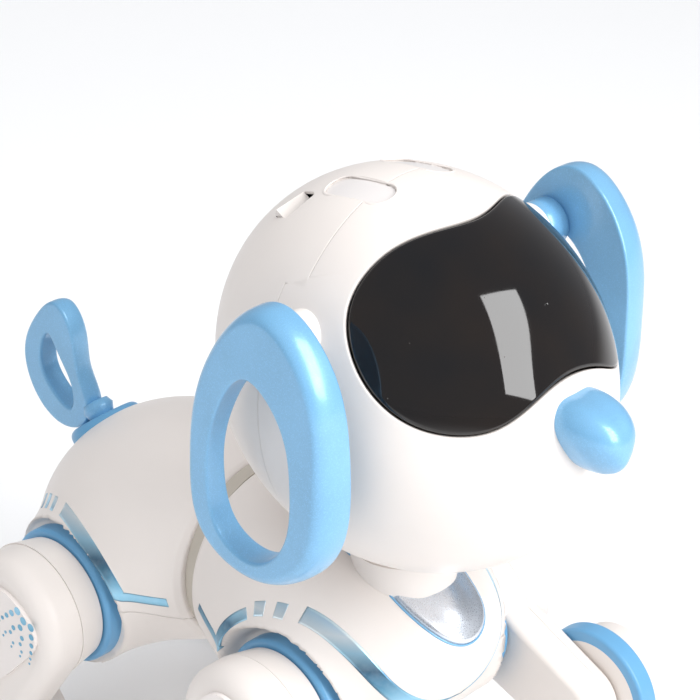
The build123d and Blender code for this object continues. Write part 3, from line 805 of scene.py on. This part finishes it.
def port_place(points):
    """From the port's own frame, whose Z points out of the head, to the model's frame."""
    tip, roll = np.radians(PORT_TURN)
    about_x = np.array([[1, 0, 0], [0, math.cos(tip), -math.sin(tip)], [0, math.sin(tip), math.cos(tip)]])
    about_y = np.array([[math.cos(roll), 0, math.sin(roll)], [0, 1, 0], [-math.sin(roll), 0, math.cos(roll)]])
    return points @ (about_x @ about_y).T + PORT_C


def rounded_box(width, depth, radius):
    loop = []
    for k, (sx, sy) in enumerate(((1, 1), (-1, 1), (-1, -1), (1, -1))):
        turn = np.radians(np.linspace(90 * k, 90 * k + 90, 6))
        corner = np.array([sx * (width / 2 - radius), sy * (depth / 2 - radius)])
        loop.append(corner + radius * np.stack([np.cos(turn), np.sin(turn)], axis=1))
    return np.vstack(loop)


def crown_height(x, y):
    """The head's upper surface over a point."""
    share = 1 - (x / HEAD_R[0]) ** 2 - ((y - HEAD_C[1]) / HEAD_R[1]) ** 2
    return HEAD_C[2] + HEAD_R[2] * np.sqrt(share)


def build_head_details(rear):
    """The port's mouth in the rear shell, and a small raised lip round each pad."""
    carve(rear, prism_cutter(rounded_box(PORT_SIZE[0], PORT_SIZE[1], 1.6), -7.0, 7.0, port_place))
    for side, word in ((-1, "right"), (1, "left")):
        rows = []
        for turn in np.linspace(0, 2 * math.pi, 10, endpoint=False):
            loop = capsule(side, 0.55 + 0.42 * math.cos(turn))
            height = crown_height(loop[:, 0], loop[:, 1]) - 0.08 + 0.32 * math.sin(turn)
            rows.append(np.column_stack([loop, height]))
        rows = np.array(rows)
        faces = grid_faces(*rows.shape[:2], close_rows=True)
        lip = mesh_object(f"{word}_pad_lip", rows.reshape(-1, 3), faces, "head", SHELL)
        weld(lip, 0.001)


def build_visor():
    columns = 600
    edge_angle, square = goggle_rays(columns)
    rows = []
    for s in np.concatenate([np.linspace(0.004, 0.955, 70), np.linspace(0.962, 1.0, 14)]):
        inset = np.clip((1 - s) * edge_angle * MEAN_R / 1.5, 0, 1)
        sink = 0.9 * (1 - np.sqrt(1 - (1 - inset) ** 2))
        rows.append(head_point(along_ray(edge_angle * s, square), 0.1 - sink))
    rows.append(head_point(along_ray(edge_angle, square), -2.4))
    rows = np.array(rows)
    visor = mesh_object("visor_glass", rows.reshape(-1, 3), grid_faces(*rows.shape[:2]), "head",
                        FINISH["visor_black"])
    weld(visor, 0.0005)
    face_outwards(visor, HEAD_C)
    thicken(visor, 0.8)
    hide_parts("visor")


def build_nose():
    """A rounded triangle, wide side up, domed to the front."""
    half = [(0, 10.6), (7.0, 9.8), (10.4, 4.6), (8.4, -3.4), (3.6, -10.2), (0, -12.2)]
    outline = closed_curve(np.array(half + [(-x, z) for x, z in half[-2:0:-1]], float), 120)
    rows = []
    for turn in np.radians(np.linspace(2, 150, 60)):
        spread = math.sin(turn) ** 0.82
        depth = 15.5 * math.cos(turn)
        x = outline[:, 0] * spread
        z = outline[:, 1] * spread
        rows.append(NOSE_C + np.stack([x, 0.12 * z - depth, z], axis=1))
    rows = np.array(rows)
    nose = mesh_object("nose_button", rows.reshape(-1, 3), grid_faces(*rows.shape[:2]), "head",
                       FINISH["flake_blue"])
    bm = bmesh.new()
    bm.from_mesh(nose.data)
    bmesh.ops.holes_fill(bm, edges=bm.edges[:], sides=0)
    bmesh.ops.recalc_face_normals(bm, faces=bm.faces)
    for face in bm.faces:
        face.smooth = True
    bm.to_mesh(nose.data)
    bm.free()
    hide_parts("nose")


# --------------------------------------------------------- ears and tail
def polar_radius(loop, centre, turn):
    """The loop's distance from the centre at each angle, for a loop that each ray crosses once."""
    offset = loop - centre
    angle = np.arctan2(offset[:, 1], offset[:, 0])
    order = np.argsort(angle)
    return np.interp(turn, angle[order], np.hypot(*offset[order].T), period=2 * math.pi)


def build_loop(name, outline, hole, centre, x_range, side, rims, thin, body, node):
    """A flat ring with softly rounded edges.

    rims are the rounds' widths at its front and at its back, and thin is how much less thick its back is.
    """
    centre = np.array(centre, float)
    turn = np.linspace(-math.pi, math.pi, 420, endpoint=False)
    outer = polar_radius(closed_curve(np.array(outline, float), 3000), centre, turn)
    inner = polar_radius(closed_curve(np.array(hole, float), 3000), centre, turn)
    x0, x1 = x_range
    thick = x1 - x0
    forward = np.clip(-np.cos(turn) * 0.5 + 0.5, 0, 1)
    wide = rims[1] + (rims[0] - rims[1]) * forward
    deep = np.minimum(wide * 1.9, thick - 1.6)
    small = 1.1
    rows = []

    def ring(radius, level):
        y = centre[0] + radius * np.cos(turn)
        z = centre[1] + radius * np.sin(turn)
        level = level + thin * (1 - forward) * (x1 - level) / thick
        rows.append(np.stack([side * level, y, z], axis=1))

    for a in np.radians(np.linspace(0, 90, 6)):
        ring(inner + small * (1 - math.sin(a)), x0 + small * (1 - math.cos(a)))
    for level in np.linspace(x0 + small, x1 - small, 8)[1:-1]:
        ring(inner, level)
    for a in np.radians(np.linspace(0, 90, 8)):
        ring(inner + small * (1 - math.cos(a)), x1 - small + small * math.sin(a))
    for s in np.linspace(0, 1, 12)[1:-1]:
        ring(inner + small + (outer - wide - inner - small) * s, x1)
    for a in np.radians(np.linspace(0, 90, 26)):
        ring(outer - wide + wide * math.sin(a) ** 0.9, x1 - deep * (1 - math.cos(a)) ** 0.95)
    for level in np.linspace(0, 1, 6)[1:-1]:
        ring(outer, x1 - deep + (x0 + small - x1 + deep) * level)
    for a in np.radians(np.linspace(0, 90, 8)):
        ring(outer - small * (1 - math.cos(a)), x0 + small * (1 - math.sin(a)))
    for s in np.linspace(0, 1, 10)[1:-1]:
        ring(outer - small + (inner + small - outer + small) * s, x0)
    grid = np.array(rows)
    obj = mesh_object(name, grid.reshape(-1, 3), grid_faces(*grid.shape[:2], close_rows=True), body,
                      FINISH["flake_blue"])
    weld(obj, 0.0005)
    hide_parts(node)


def lathe(name, profile_points, place, axis, body, finish):
    """Turns (radius, height) points about an axis through place, both ends closed."""
    axis = unit(np.array(axis, float))
    across = unit(np.cross(axis, [1.0, 0.2, 0.1]))
    other = np.cross(axis, across)
    turn = np.linspace(0, 2 * math.pi, 72, endpoint=False)
    around = np.cos(turn)[:, None] * across + np.sin(turn)[:, None] * other
    rows = np.array([np.array(place) + axis * h + around * max(r, 1e-4) for r, h in profile_points])
    weld(mesh_object(name, rows.reshape(-1, 3), grid_faces(*rows.shape[:2]), body, finish), 0.001)


def build_ears():
    for side, word in ((-1, "right"), (1, "left")):
        ear = f"{word}_ear"
        build_loop(f"{word}_ear_loop", EAR_OUTLINE, EAR_HOLE, EAR_CENTRE, EAR_X, side, (5.5, 3.0), 4.5,
                   ear, ear)
        lathe(f"{word}_ear_boss", EAR_BOSS, (side * EAR_BOSS_X, *EAR_PIVOT), (side, 0, 0), ear,
              FINISH["flake_blue"])


def build_tail():
    build_loop("tail_ring", TAIL_OUTLINE, TAIL_HOLE, TAIL_CENTRE, TAIL_X, 1, (2.6, 2.6), 0, "tail", "tail_loop")
    up = (0, math.sin(TAIL_LEAN), math.cos(TAIL_LEAN))
    lathe("tail_stub", TAIL_STUB, TAIL_PIVOT, up, "tail", FINISH["flake_blue"])


# ------------------------------------------------------- camera and light
def aim(obj, target):
    direction = Vector(target) - obj.location
    obj.rotation_euler = direction.to_track_quat("-Z", "Y").to_euler()


def softbox(name, azimuth, elevation, distance, size, power, turn=0.0, mirrored=True):
    """A rectangular light at a direction from the dog, where azimuth 0 is straight before its nose."""
    a = math.radians(azimuth)
    e = math.radians(elevation)
    target = Vector((0, -0.03, 0.12))
    data = bpy.data.lights.new(name, "AREA")
    data.shape = "RECTANGLE"
    data.size, data.size_y = size
    data.energy = power
    light = bpy.data.objects.new(name, data)
    towards = Vector((math.sin(a) * math.cos(e), -math.cos(a) * math.cos(e), math.sin(e)))
    light.location = target + distance * towards
    aim(light, target)
    light.rotation_euler.rotate_axis("Z", math.radians(turn))
    light.visible_glossy = mirrored
    bpy.context.scene.collection.objects.link(light)


def build_stage():
    floor_mesh = bpy.data.meshes.new("floor")
    reach = 6.0
    floor_mesh.from_pydata([(-reach, -reach, 0), (reach, -reach, 0), (reach, reach, 0), (-reach, reach, 0)], [],
                           [(0, 1, 2, 3)])
    floor = bpy.data.objects.new("floor", floor_mesh)
    bpy.context.scene.collection.objects.link(floor)
    floor_mesh.materials.append(moulded("floor_paper", (0.93, 0.93, 0.93), 0.7, vary=0.004, patch=400.0,
                                        specular=0.1))

    world = bpy.data.worlds.new("studio")
    world.use_nodes = True
    world.node_tree.nodes["Background"].inputs["Color"].default_value = (0.93, 0.95, 1.0, 1)
    world.node_tree.nodes["Background"].inputs["Strength"].default_value = 0.39
    bpy.context.scene.world = world

    softbox("front_softbox", 6, 34, 1.25, (0.60, 1.15), 17, turn=-18)
    softbox("left_fill", -80, 42, 1.3, (1.2, 1.2), 5.2, mirrored=False)
    softbox("top_fill", -20, 84, 1.4, (1.4, 1.4), 6.2, mirrored=False)
    softbox("back_fill", 150, 40, 1.4, (1.2, 1.0), 4.5, mirrored=False)

    data = bpy.data.cameras.new("camera")
    data.lens = 154.3
    data.sensor_width = 36.0
    data.clip_start = 0.05
    data.clip_end = 50.0
    camera = bpy.data.objects.new("camera", data)
    camera.location = (-0.5775, -0.5887, 0.6248)
    camera.rotation_euler = Vector((0.6254, 0.6154, -0.4797)).to_track_quat("-Z", "Y").to_euler()
    bpy.context.scene.collection.objects.link(camera)
    bpy.context.scene.camera = camera
    bpy.context.scene.view_settings.view_transform = "Standard"


paint_frame()
build_body()
build_foil()
build_dots()
build_shield()
build_front_shell()
build_head_details(build_rear_shell())
build_visor()
build_nose()
build_ears()
build_tail()
build_stage()
